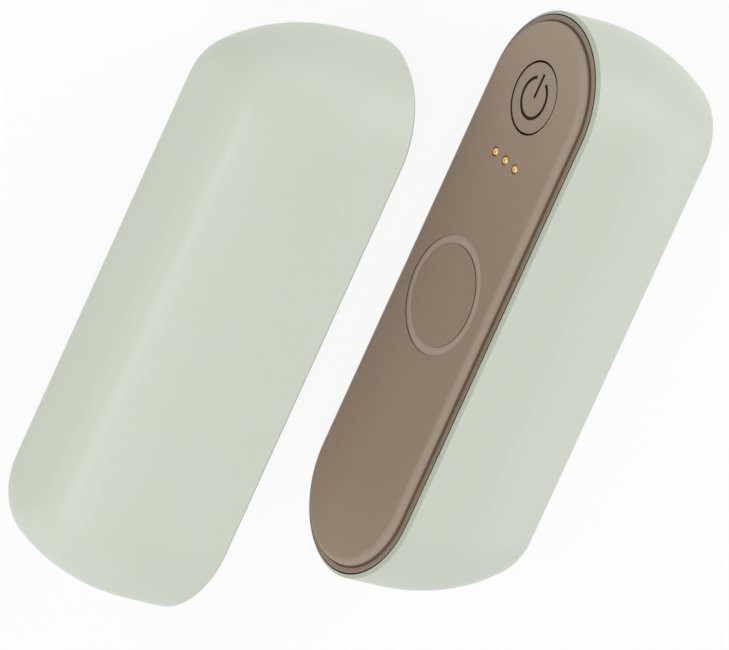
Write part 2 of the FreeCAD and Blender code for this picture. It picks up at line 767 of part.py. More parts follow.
def cell_cradle(half):
    """Moulded frame: a plate under the board and a trough that grips the cell."""
    cradle = new_piece(half, "cell_cradle")
    slot_plate(cradle, board_back, board_half, mm.cradle_top)
    block(cradle, (board_back, -cradle_half_length, -cradle_half),
          (cradle_back + mm.cradle_grip, cradle_half_length, cradle_half))
    bore_radius = mm.cell_radius + mm.cell_clearance
    bore_start = (cell_axis, cradle_bore_half, zero)
    cylinder(cradle, "Y", bore_start, bore_radius, cradle_bore_half * 2, cut=True)

    tab_half = mm.tab_width / 2 + mm.tab_room
    for end in (-1, 1):
        low = cradle_bore_half - mm.tab_thick - mm.tab_room
        edges = [low * end, cradle_bore_half * end]
        edges.sort(key=lambda size: size.value)
        block(cradle, (board_back - mm.overrun, edges[0], -tab_half),
              (cell_axis, edges[1], tab_half), cut=True)

    notch = mm.socket_width / 2 + mm.socket_clearance
    block(cradle, (board_back - mm.overrun, -half_length, -notch),
          (cradle_back + mm.overrun, socket_inside + mm.socket_clearance, notch), cut=True)
    for y, z in screw_places():
        start = (board_back - mm.overrun, y, z)
        hole = mm.screw_radius + mm.screw_clearance
        cylinder(cradle, "X", start, hole, mm.cradle_top + mm.overrun * 2, cut=True)
    lead_room = mm.lead_radius + mm.lead_clearance
    lead_span = mm.lead_pitch / 2 + lead_room
    block(cradle, (board_back - mm.overrun, -mm.lead_offset - lead_span, lead_side - lead_room),
          (cradle_back + mm.cradle_grip + mm.overrun, -mm.lead_offset + lead_span, half_width), cut=True)


def battery(half):
    """One round lithium cell, a nickel strip from each end to the board, and foam behind it."""
    cell = new_piece(half, "battery_cell")
    cylinder(cell, "Y", (cell_axis, mm.cell_length / 2, zero), mm.cell_radius, mm.cell_length)

    tabs = new_piece(half, "cell_tabs")
    reach = mm.tab_width / 2
    end = mm.cell_length / 2
    for low, high in ((-end - mm.tab_thick, -end), (end, end + mm.tab_thick)):
        block(tabs, (board_back, low, -reach), (cell_axis + mm.tab_reach, high, reach))

    foam = new_piece(half, "cell_pad")
    span = mm.cell_length / 2 - mm.pad_setback
    side = mm.pad_width / 2
    block(foam, (cell_back + mm.pad_clearance, -span, -side), (lining_back, span, side))


def heater(half):
    """Aluminium liner and film heater along the shell's inside, with the film's wires and its sensor."""
    span = mm.cell_length - mm.lining_setback * 2
    for name, outside, inside in (("heat_spreader", shell_wall, film_outside),
                                  ("heater_film", film_outside, lining)):
        sheet_piece = new_piece(half, name)
        sketch = new_sketch(sheet_piece, "Y", (zero, span / 2, zero))
        draw_band(sketch, outside, inside, lining_front)
        mirror(sheet_piece, pad(sheet_piece, sketch, span), "Z")

    leads = new_piece(half, "heater_leads")
    length = lining_front + mm.lead_overlap - board_back
    for step in (-1, 1):
        y = mm.lead_pitch / 2 * step - mm.lead_offset
        cylinder(leads, "X", (board_back, y, lead_side), mm.lead_radius, length)

    sensor = new_piece(half, "thermistor")
    y = mm.cell_length / 2 - mm.pad_setback + mm.sensor_gap
    reach = mm.sensor_width / 2
    block(sensor, (lining_back - mm.sensor_thick, y, -reach), (lining_back, y + mm.sensor_length, reach))


def frame_screws(half):
    """Four pan-head screws through the board and the cradle into the shell's posts."""
    screws = new_piece(half, "frame_screws")
    for y, z in screw_places():
        head = (board_front - mm.screw_head_height, y, z)
        cylinder(screws, "X", head, mm.screw_head_radius, mm.screw_head_height)
        shank = mm.screw_head_height + mm.screw_length
        cylinder(screws, "X", head, mm.screw_radius, shank)


for half in HALVES:
    outer_shell(half)
    face_plate(half)
    face_gasket(half)
    power_button(half)
    tact_switch(half)
    magnet_and_yoke(half)
    contact_block(half)
    control_board(half)
    charging_socket(half)
    cell_cradle(half)
    battery(half)
    heater(half)
    frame_screws(half)
contact_pads()
contact_pins()
doc.recompute()

for item in doc.Objects:
    if "Invalid" in item.State or "Error" in item.State:
        raise RuntimeError("%s did not build: %s" % (item.Name, item.State))
for piece in pieces:
    if piece.Shape.isNull() or not piece.Shape.isValid() or not piece.Shape.Solids:
        raise RuntimeError("%s has no valid solid" % piece.Label)

os.makedirs("parts", exist_ok=True)
for piece in pieces:
    piece.Shape.exportStep("parts/%s.step" % piece.Label)
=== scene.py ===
import math

import bmesh
import bpy
from mathutils import Matrix, Vector


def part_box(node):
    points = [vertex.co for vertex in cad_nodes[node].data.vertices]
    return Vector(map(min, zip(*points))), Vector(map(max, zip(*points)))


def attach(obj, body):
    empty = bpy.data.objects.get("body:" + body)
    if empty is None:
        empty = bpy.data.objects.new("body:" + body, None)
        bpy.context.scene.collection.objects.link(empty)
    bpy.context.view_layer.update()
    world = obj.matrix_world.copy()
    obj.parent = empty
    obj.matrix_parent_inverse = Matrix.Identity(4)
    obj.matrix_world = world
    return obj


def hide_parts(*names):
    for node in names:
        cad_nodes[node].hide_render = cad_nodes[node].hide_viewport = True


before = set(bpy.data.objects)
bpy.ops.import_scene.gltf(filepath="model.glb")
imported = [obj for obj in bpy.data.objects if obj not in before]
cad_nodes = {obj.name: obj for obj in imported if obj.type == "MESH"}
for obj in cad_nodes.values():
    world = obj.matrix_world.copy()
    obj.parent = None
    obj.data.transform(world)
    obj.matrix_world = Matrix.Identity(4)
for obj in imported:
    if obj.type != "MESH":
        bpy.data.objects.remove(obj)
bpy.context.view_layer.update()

# Outer shell: one moulded ABS tray for each half, sprayed with a pale sage soft-touch coat. The hand holds
# its rounded back. A thin lip with a sloping land stands round the face plate, a seat carries the plate's
# foam, and the bottom end has the chamfered mouth of the charging socket.
HALVES = ("right", "left")
METRES = 0.001
rim_low, back_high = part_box("right_outer_shell")
shell_middle = (rim_low + back_high) / 2
shell_depth = (back_high.x - rim_low.x) / METRES
half_width = (back_high.z - rim_low.z) / 2 / METRES
half_length = (back_high.y - rim_low.y) / 2 / METRES
straight = 2 * (half_length - half_width)
shell_wall = 2.2
lip_wall = 0.65
lip_depth = 2.2
land_drop = 0.7
land_round = 0.1
lip_round = 0.08
flank_flat = 7.6
back_flat = 4.5
back_corner = 6.5
mouth_clearance = 0.25
mouth_chamfer = 0.3
ARC_STEP = 4.0
ARC_LEAST = 3
END_STEPS = 72
WELD = 1e-4
SHARP_ANGLE = math.radians(20)

# The right half stands on its flank with its face towards -X. The left half is the same, turned about Y.
seat = {}
for half in HALVES:
    low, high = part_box(half + "_outer_shell")
    middle = (low + high) / 2
    rim = low.x if half == "right" else high.x
    turn = 0 if half == "right" else math.pi
    place = Matrix.Translation((rim, middle.y, middle.z))
    seat[half] = place @ Matrix.Rotation(turn, 4, "Y") @ Matrix.Diagonal((METRES, METRES, METRES, 1))


def srgb(text):
    """An sRGB hex colour as linear RGBA."""
    channels = [int(text[i:i + 2], 16) / 255 for i in (1, 3, 5)]
    return [c / 12.92 if c <= 0.04045 else ((c + 0.055) / 1.055) ** 2.4 for c in channels] + [1.0]


def add_node(tree, kind, inputs, **settings):
    """Add a node with its settings. A socket among its inputs is linked, and a plain value is set."""
    node = tree.nodes.new(kind)
    for name, value in settings.items():
        setattr(node, name, value)
    for name, value in inputs.items():
        if isinstance(value, bpy.types.NodeSocket):
            tree.links.new(value, node.inputs[name])
        else:
            node.inputs[name].default_value = value
    return node


def cells(size_mm):
    """The noise scale that gives spots of about that size, on object coordinates in metres."""
    return 1 / (size_mm * METRES)


def finish(name, colours, spot_mm, roughness, grain_mm, grain_depth_mm, stretch=(1, 1, 1), **shader):
    """A surface that varies between two close colours, with a fine grain in its gloss and its relief.

    A stretch under 1 draws the grain out along that axis, as rolling or brushing does.
    """
    material = bpy.data.materials.new(name)
    material.use_nodes = True
    tree = material.node_tree
    tree.nodes.clear()
    place = add_node(tree, "ShaderNodeTexCoord", {}).outputs["Object"]
    spots = add_node(tree, "ShaderNodeTexNoise", {"Vector": place, "Scale": cells(spot_mm), "Detail": 3.0})
    shade = add_node(tree, "ShaderNodeMix", {"Factor": spots.outputs["Fac"]}, data_type="RGBA")
    shade.inputs["A"].default_value = srgb(colours[0])
    shade.inputs["B"].default_value = srgb(colours[1])
    drawn = add_node(tree, "ShaderNodeMapping", {"Vector": place, "Scale": stretch}).outputs["Vector"]
    grain = add_node(tree, "ShaderNodeTexNoise", {"Vector": drawn, "Scale": cells(grain_mm), "Detail": 2.0})
    gloss = add_node(tree, "ShaderNodeMapRange", {
        "Value": grain.outputs["Fac"], "To Min": roughness[0], "To Max": roughness[1]})
    relief = add_node(tree, "ShaderNodeBump", {
        "Height": grain.outputs["Fac"], "Distance": grain_depth_mm * METRES, "Strength": 1.0})
    surface = add_node(tree, "ShaderNodeBsdfPrincipled", {
        "Base Color": shade.outputs["Result"], "Roughness": gloss.outputs["Result"],
        "Normal": relief.outputs["Normal"], **shader})
    add_node(tree, "ShaderNodeOutputMaterial", {"Surface": surface.outputs["BSDF"]})
    return material


def only(kind, geometry):
    """The items of one kind (vertices, edges or faces) in what an operator gives back."""
    return [item for item in geometry if isinstance(item, kind)]


def edges_among(verts):
    """The edges whose two ends are both among some vertices."""
    known = set(verts)
    touching = {edge for vert in verts for edge in vert.link_edges}
    return [edge for edge in touching if known.issuperset(edge.verts)]


def draw_section(bm, start, *steps):
    """Draw a line of edges in the plane across the half, from a start given as (depth, width).

    A step of two numbers is a straight run to there. A step of three is a turn about a centre, by degrees.
    """
    before = set(bm.verts)
    pen = bm.verts.new((start[0], 0, start[1]))
    for step in steps:
        if len(step) == 2:
            pen = bmesh.ops.extrude_vert_indiv(bm, verts=[pen])["verts"][0]
            pen.co = (step[0], 0, step[1])
        else:
            depth, width, degrees = step
            pen = bmesh.ops.spin(
                bm, geom=[pen], cent=(depth, 0, width), axis=(0, 1, 0), angle=math.radians(degrees),
                steps=max(ARC_LEAST, round(abs(degrees) / ARC_STEP)))["geom_last"][0]
    verts = [vert for vert in bm.verts if vert not in before]
    return verts + edges_among(verts)


def add_part(bm, part, number):
    """Add a finished part's faces to a piece, with one of the piece's materials by number."""
    for item in part.faces:
        item.material_index = number
    mesh = bpy.data.meshes.new("part")
    part.to_mesh(mesh)
    part.free()
    bm.from_mesh(mesh)
    bpy.data.meshes.remove(mesh)


def sweep_slot(bm, number, *line):
    """Carry a section once round the half: a half turn at each end, and a straight run along each side."""
    part = bmesh.new()
    section = draw_section(part, *line)
    bmesh.ops.translate(part, verts=part.verts, vec=(0, straight / 2, 0))
    for end in (1, -1):
        turned = bmesh.ops.spin(
            part, geom=section, cent=(0, end * straight / 2, 0), axis=(1, 0, 0), angle=-math.pi,
            steps=END_STEPS)["geom_last"]
        run = bmesh.ops.extrude_edge_only(part, edges=only(bmesh.types.BMEdge, turned))["geom"]
        verts = only(bmesh.types.BMVert, run)
        bmesh.ops.translate(part, verts=verts, vec=(0, -end * straight, 0))
        section = verts + edges_among(verts)
    add_part(bm, part, number)


def close_up(bm):
    """Weld the seams of a piece and turn all its faces outwards."""
    bmesh.ops.remove_doubles(bm, verts=bm.verts, dist=WELD)
    bmesh.ops.recalc_face_normals(bm, faces=bm.faces)


def cut_away(bm, tool):
    """Cut a closed tool out of a closed piece."""
    things = []
    for part in (bm, tool):
        close_up(part)
        mesh = bpy.data.meshes.new("blank")
        part.to_mesh(mesh)
        thing = bpy.data.objects.new("blank", mesh)
        bpy.context.scene.collection.objects.link(thing)
        things.append(thing)
    cut = things[0].modifiers.new("cut", "BOOLEAN")
    cut.object = things[1]
    cut.solver = "EXACT"
    left_over = things[0].evaluated_get(bpy.context.evaluated_depsgraph_get())
    bm.clear()
    bm.from_mesh(left_over.to_mesh())
    tool.free()
    for thing in things:
        bpy.data.meshes.remove(thing.data)


def new_piece(bm, name, half, body, materials, node=None):
    """Turn a mesh drawn in the half's own millimetres into a piece, which may stand for a CAD node."""
    close_up(bm)
    bmesh.ops.transform(bm, matrix=seat[half], verts=bm.verts)
    mesh = bpy.data.meshes.new(name)
    bm.to_mesh(mesh)
    bm.free()
    mesh.shade_smooth()
    mesh.set_sharp_from_angle(angle=SHARP_ANGLE)
    for material in materials:
        mesh.materials.append(material)
    piece = bpy.data.objects.new(name, mesh)
    bpy.context.scene.collection.objects.link(piece)
    flats = piece.modifiers.new("flat faces stay flat", "WEIGHTED_NORMAL")
    flats.keep_sharp = True
    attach(piece, body)
    if node:
        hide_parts(node)


# A soft-touch coat is a fine-grained satin: it spreads every highlight wide and has no sharp reflection.
# Its grain is drawn coarser than the real one, which is too fine to show.
soft_touch_coat = finish(
    "sage soft-touch coat on ABS", ("#CED6C7", "#D1D8CB"), spot_mm=18, roughness=(0.37, 0.43), grain_mm=0.3,
    grain_depth_mm=0.006, **{"Specular IOR Level": 0.42, "Sheen Weight": 0.06, "Sheen Roughness": 0.4})

# The land is painted a darker and greener sage than the coat: painted shade along the lip.
land_painted_shade = finish(
    "sage ABS with painted shade on the land", ("#B4BEAC", "#B9C2B1"), spot_mm=12, roughness=(0.45, 0.52), grain_mm=0.3,
    grain_depth_mm=0.004, **{"Specular IOR Level": 0.35})
COAT, LAND_SHADE = 0, 1

# The back is two arcs that meet smoothly: a wide one from the flank and a tighter one into the flat back.
back_run = shell_depth - flank_flat
back_inset = half_width - back_flat
sweep_share = back_inset ** 2 + back_run ** 2 - 2 * back_run * back_corner
flank_radius = sweep_share / (2 * (back_inset - back_corner))
corner_turn = math.degrees(math.atan2(flank_radius - back_inset, back_run - back_corner))
flank_turn = 90 - corner_turn
flank_centre = (flank_flat, half_width - flank_radius)
corner_centre = (shell_depth - back_corner, back_flat)
lip_inside = half_width - lip_wall

# The land slopes back from the lip's inner edge to the flank.
land_turn = math.degrees(math.atan2(lip_wall, land_drop))
land_facing = Vector((-math.sin(math.radians(land_turn)), math.cos(math.radians(land_turn))))
land_start = land_drop + land_round * math.tan(math.radians(land_turn) / 2)
lip_turn = 180 - land_turn
lip_centre = Vector((lip_round * math.tan(math.radians(lip_turn) / 2), lip_inside + lip_round))

socket_low, socket_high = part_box("right_usb_socket")
socket_axis = ((socket_low + socket_high) / 2 - rim_low).x / METRES
mouth_radius = (socket_high.x - socket_low.x) / 2 / METRES + mouth_clearance
mouth_reach = (socket_high.z - socket_low.z) / 2 / METRES + mouth_clearance - mouth_radius


def mouth_tool():
    """The slot-shaped tool that cuts the socket's mouth, flared where it leaves the shell's round end."""
    tool = bmesh.new()
    draw_section(
        tool, (socket_axis - mouth_radius, mouth_reach),
        (socket_axis, mouth_reach, 180),
        (socket_axis + mouth_radius, -mouth_reach),
        (socket_axis, -mouth_reach, 180),
        (socket_axis - mouth_radius, mouth_reach))
    bmesh.ops.remove_doubles(tool, verts=tool.verts, dist=WELD)
    loop = list(tool.edges)
    bmesh.ops.contextual_create(tool, geom=loop)
    bmesh.ops.translate(tool, verts=tool.verts, vec=(0, 2 * shell_wall - half_length, 0))
    for rise, grow in ((-mouth_chamfer, 0), (mouth_chamfer, 2 * mouth_chamfer), (shell_wall, 0)):
        verts = only(bmesh.types.BMVert, bmesh.ops.extrude_edge_only(tool, edges=loop)["geom"])
        loop = edges_among(verts)
        for vert in verts:
            spine = Vector((socket_axis, 0, max(-mouth_reach, min(mouth_reach, vert.co.z))))
            out = (vert.co - spine) * Vector((1, 0, 1))
            end_face = -straight / 2 - math.sqrt(half_width ** 2 - vert.co.z ** 2)
            vert.co += out.normalized() * grow
            vert.co.y = end_face - rise
    bmesh.ops.contextual_create(tool, geom=loop)
    return tool


for half in HALVES:
    bm = bmesh.new()
    sweep_slot(
        bm, COAT, (shell_depth, 0),
        (shell_depth, back_flat),
        (*corner_centre, -corner_turn),
        (*flank_centre, -flank_turn),
        (land_start, half_width),
        (land_start, half_width - land_round, -land_turn),
        tuple(lip_centre + lip_round * land_facing),
        (*lip_centre, -lip_turn),
        (lip_depth, lip_inside),
        (lip_depth, half_width - shell_wall),
        (flank_flat, half_width - shell_wall),
        (*flank_centre, flank_turn),
        (*corner_centre, corner_turn),
        (shell_depth - shell_wall, 0))
    cut_away(bm, mouth_tool())
    # The land's faces take the darker sage: painted shade.
    for item in bm.faces:
        if item.calc_center_median().x < land_drop:
            item.material_index = LAND_SHADE
    new_piece(bm, half + "_shell", half, half + "_half", [soft_touch_coat, land_painted_shade],
              half + "_outer_shell")


# Heat spreader: a thin aluminium liner glued into the shell's back, so that the whole back warms evenly.
# Rolled sheet has a fine grain along its length and a soft metal gloss.
def dress(material, *kinds):
    """Give a material to CAD pieces that keep their own shape, in every half that has them."""
    for name, node in cad_nodes.items():
        if name.split("_", 1)[1] in kinds:
            node.data.materials.clear()
            node.data.materials.append(material)


rolled_aluminium = finish(
    "rolled aluminium sheet", ("#C6C8CA", "#CDCFD0"), spot_mm=14, roughness=(0.28, 0.42), grain_mm=0.3,
    grain_depth_mm=0.003, stretch=(1, 0.04, 1), Metallic=1.0)
dress(rolled_aluminium, "heat_spreader")

# Heater film: etched foil between two layers of amber polyimide, bonded to the spreader. Two sleeved wires
# run from it to the board, and a sensor in a bead of epoxy sits on it.
# The film is smooth and glossy, and the foil under it mottles its amber.
polyimide_film = finish(
    "amber polyimide film", ("#A9621F", "#BC7A2E"), spot_mm=2.4, roughness=(0.14, 0.24), grain_mm=0.9,
    grain_depth_mm=0.01, stretch=(1, 0.1, 1), IOR=1.7)
# Extruded silicone is smooth, with a dull and even shine.
silicone_sleeve = finish(
    "red silicone wire sleeve", ("#A82626", "#B83030"), spot_mm=5, roughness=(0.42, 0.5), grain_mm=0.25,
    grain_depth_mm=0.003, IOR=1.43)
# Cast epoxy over a small pale part is milky, with a wet gloss. The lamp under the button has it too.
cast_epoxy = finish(
    "cast clear epoxy", ("#E2D9BE", "#EAE4D0"), spot_mm=1.5, roughness=(0.06, 0.12), grain_mm=0.4,
    grain_depth_mm=0.002, IOR=1.55, **{"Coat Weight": 0.5})
dress(polyimide_film, "heater_film")
dress(silicone_sleeve, "heater_leads")
dress(cast_epoxy, "thermistor", "indicator_led")

# Cell and cradle: one standard cell in a shrink sleeve, in a moulded frame that screws to the shell.
# Nickel strips are welded to its ends, and a foam strip keeps it from the heater.
# Shrunk PVC is tight and shiny, with a slight ripple.
shrink_sleeve = finish(
    "blue PVC shrink sleeve", ("#4A80B0", "#548BBB"), spot_mm=11, roughness=(0.2, 0.28), grain_mm=1.6,
    grain_depth_mm=0.012, IOR=1.54)
# ABS without a dye comes out of the mould a plain off-white, with a low shine.
plain_moulding = finish(
    "natural white ABS moulding", ("#D5D5D0", "#DBDAD6"), spot_mm=12, roughness=(0.42, 0.52), grain_mm=0.35,
    grain_depth_mm=0.006, **{"Specular IOR Level": 0.45})
# Rolled nickel is a warm grey metal with fine lines from the rolls.
rolled_nickel = finish(
    "rolled nickel strip", ("#BDBAB0", "#C8C6BF"), spot_mm=3, roughness=(0.22, 0.34), grain_mm=0.15,
    grain_depth_mm=0.002, stretch=(1, 1, 0.06), Metallic=1.0)
# Cut foam has no shine, and its cells make it rough. The tape under the face plate is the same foam.
closed_cell_foam = finish(
    "black closed-cell foam", ("#262626", "#303030"), spot_mm=0.8, roughness=(0.8, 0.95), grain_mm=0.35,
    grain_depth_mm=0.06, **{"Specular IOR Level": 0.25})
dress(shrink_sleeve, "battery_cell")
dress(plain_moulding, "cell_cradle")
dress(rolled_nickel, "cell_tabs")
dress(closed_cell_foam, "cell_pad", "face_gasket")

# Control board: glass-fibre laminate under a green solder mask, with moulded chips and the button's switch
# soldered to its front, and the charging socket to its back.
# Solder mask is a glossy dark green lacquer with a slight ripple.
solder_mask = finish(
    "green solder mask on laminate", ("#1B432A", "#235233"), spot_mm=1.2, roughness=(0.22, 0.34),
    grain_mm=0.5, grain_depth_mm=0.012, IOR=1.52)
# Glass-filled nylon is a dull black, faintly mottled by its fibres.
black_moulding = finish(
    "black glass-filled nylon", ("#1B1B1D", "#242427"), spot_mm=1.4, roughness=(0.45, 0.6), grain_mm=0.2,
    grain_depth_mm=0.006, **{"Specular IOR Level": 0.4})
# Bright steel is rolled or drawn, so its shine has fine lines in it.
bright_steel = finish(
    "plain bright steel", ("#A5A7AA", "#B0B2B5"), spot_mm=4, roughness=(0.22, 0.34), grain_mm=0.12,
    grain_depth_mm=0.002, stretch=(1, 0.1, 1), Metallic=1.0)
dress(solder_mask, "control_board")
dress(black_moulding, "board_chips", "switch_body", "switch_plunger", "usb_tongue", "contact_block")
dress(bright_steel, "usb_socket", "frame_screws", "magnet_yoke", "pin_springs")

# Tongue contacts: thin brass strips in both faces of the tongue in the charging socket, twelve to a face.
# They are moulded in with the tongue and gold plated.
strip_count = 12
strip_pitch = 0.5
strip_width = 0.26
strip_thick = 0.03
strip_bevel = strip_thick / 3
strip_length = 3.2
strip_setback = 0.5
tongue_thick = 0.7
tongue_tip = (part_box("right_usb_tongue")[0] - shell_middle).y / METRES

# A thin plating keeps the brass's fine turned or rolled surface: a warm yellow metal with a satin shine.
gold_plate = finish(
    "satin gold plate on brass", ("#F4C572", "#F9D188"), spot_mm=0.6, roughness=(0.46, 0.54), grain_mm=0.08,
    grain_depth_mm=0.001, Metallic=1.0)
for half in HALVES:
    bm = bmesh.new()
    for side in (-1, 1):
        for number in range(strip_count):
            place = Matrix.Translation((
                socket_axis + side * tongue_thick / 2,
                tongue_tip + strip_setback + strip_length / 2,
                (number - (strip_count - 1) / 2) * strip_pitch))
            size = Matrix.Diagonal((strip_thick, strip_length, strip_width, 1))
            strip = bmesh.ops.create_cube(bm, size=1.0, matrix=place @ size)["verts"]
            bmesh.ops.bevel(bm, geom=edges_among(strip), offset=strip_bevel, segments=1, profile=0.5,
                            affect="EDGES", material=-1)
    new_piece(bm, half + "_tongue_contacts", half, half + "_half", [gold_plate])

# Magnet: a sintered disc behind the ring that pulls the halves together, with a steel yoke at its back.
# It is nickel plated against rust, and the plating is bright and even.
nickel_plate = finish(
    "bright nickel plate", ("#B5B4B0", "#BEBDBA"), spot_mm=6, roughness=(0.1, 0.18), grain_mm=0.2,
    grain_depth_mm=0.001, Metallic=1.0)
dress(nickel_plate, "magnet")

# Contacts between the halves: three fixed studs in the right half, and three sprung pins in fixed tubes in
# the left half. All have round tips, and are turned from brass and gold plated.
pads_low, pads_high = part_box("right_contact_pads")
contact_place = ((pads_low + pads_high) / 2 - shell_middle).y / METRES
contact_radius = (pads_high.y - pads_low.y) / 2 / METRES
contact_pitch = (pads_high.z - pads_low.z) / 2 / METRES - contact_radius
TURN_STEPS = 96
PIN_STEPS = 32


def turn_round(bm, number, *line, y=0.0, z=0.0, steps=TURN_STEPS):
    """Turn a section a full round about the depth, then set it at its place on the face."""
    part = bmesh.new()
    bmesh.ops.spin(part, geom=draw_section(part, *line), cent=(0, 0, 0), axis=(1, 0, 0), angle=2 * math.pi,
                   steps=steps, use_merge=True)
    bmesh.ops.translate(part, verts=part.verts, vec=(0, y, z))
    add_part(bm, part, number)


dress(gold_plate, "pin_barrels")
for half, kind, body in (("right", "contact_pads", "right_half"), ("left", "contact_pins", "left_pins")):
    low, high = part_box(half + "_" + kind)
    tip, foot = sorted((seat[half].inverted() @ corner).x for corner in (low, high))
    radius = (high.y - low.y) / 2 / METRES
    bm = bmesh.new()
    for step in (-1, 0, 1):
        turn_round(
            bm, 0, (tip, 0),
            (tip + radius, 0, 90),
            (foot, radius),
            (foot, 0), y=contact_place, z=step * contact_pitch, steps=PIN_STEPS)
    new_piece(bm, half + "_turned_contacts", half, body, [gold_plate], half + "_" + kind)

# Face plate: a matt brown ABS moulding with a ledge level with the rim, a raised middle with a soft
# shoulder, a shallow ring over the magnet, a dished button hole and three contact holes. Foam tape holds it
# in the shell.
plate_gap = 0.2
plate_half = lip_inside - plate_gap
plate_thick = 1.6
plate_edge_round = 0.12
ledge_width = 1.2
plateau_rise = 1.5
plateau_round = 1.3
plateau_half = plate_half - ledge_width
plate_hollow = plateau_half - plate_thick
crease_width = 0.25
crease_depth = 0.22
crease_round = 0.2
crease_turn = 5
face = -plateau_rise
foot_angle = math.radians(crease_turn)
shoulder_foot = Vector((face + plateau_round, plateau_half - plateau_round)) + plateau_round * Vector((
    -math.sin(foot_angle), math.cos(foot_angle)))
plate_inside = plate_thick - plateau_rise
magnet_low, magnet_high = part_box("right_magnet")
ring_place = ((magnet_low + magnet_high) / 2 - shell_middle).y / METRES
ring_radius = 10.35
ring_width = 1.5
ring_depth = 0.25
ring_inside = ring_radius - ring_width
ring_floor = face + ring_depth
button_low, button_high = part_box("right_power_button")
button_place = ((button_low + button_high) / 2 - shell_middle).y / METRES
button_radius = 6.05
hole_radius = 6.4
dish_radius = 8.25
dish_slope = 0.25
dish_depth = 0.1
dish_floor = face + dish_depth
contact_gap = 0.06
contact_hole = contact_radius + contact_gap
edge_round = 0.08
edge_top = face + edge_round

# Spark-eroded grain makes the face matt with a faint even sparkle. It is drawn at a third of a millimetre,
# coarser than the real one, so that it shows.
matt_moulding = finish(
    "brown spark-grained ABS", ("#A69582", "#AA9988"), spot_mm=9, roughness=(0.58, 0.7), grain_mm=0.33,
    grain_depth_mm=0.012, **{"Specular IOR Level": 0.3})
# The sides of every cut and gap are smooth plastic, painted nearly black: painted shade where the light
# hardly reaches.
cut_painted_shade = finish(
    "brown ABS painted near black for shade in cuts", ("#3A2E25", "#40342A"), spot_mm=3, roughness=(0.6, 0.7), grain_mm=0.2,
    grain_depth_mm=0.004, **{"Specular IOR Level": 0.3})
# The ring's floor comes off a polished part of the mould, so it is paler and smoother than the face.
polished_moulding = finish(
    "pale brown polished ABS", ("#BCAC9C", "#C0B0A0"), spot_mm=9, roughness=(0.4, 0.46), grain_mm=0.33,
    grain_depth_mm=0.004, **{"Specular IOR Level": 0.45})
# The crease at the middle's foot is an undercut, smooth, and painted a shade darker than the face, as are
# the shoulder's last few degrees: painted shade in the crease.
crease_painted_shade = finish(
    "brown ABS darkened for painted shade in the crease", ("#756659", "#7B6C60"), spot_mm=3, roughness=(0.6, 0.7), grain_mm=0.2,
    grain_depth_mm=0.004, **{"Specular IOR Level": 0.3})
# The ledge is smoother than the face and painted a shade darker: painted shade on the low band between the
# raised middle and the lip.
ledge_painted_shade = finish(
    "smooth brown ABS darkened for painted shade on the ledge", ("#988877", "#9C8C7C"), spot_mm=9, roughness=(0.52, 0.6), grain_mm=0.33,
    grain_depth_mm=0.005, **{"Specular IOR Level": 0.3})
FACE, CUT_SHADE, POLISHED, CREASE_SHADE, LEDGE_SHADE = 0, 1, 2, 3, 4


def fill_flat(bm, depth):
    """Fill the flat at a depth between the open edges that lie in it."""
    bmesh.ops.remove_doubles(bm, verts=bm.verts, dist=WELD)
    edges = [edge for edge in bm.edges
             if edge.is_boundary and all(abs(vert.co.x - depth) < WELD for vert in edge.verts)]
    bmesh.ops.triangle_fill(bm, edges=edges, use_beauty=True, normal=(-1, 0, 0))


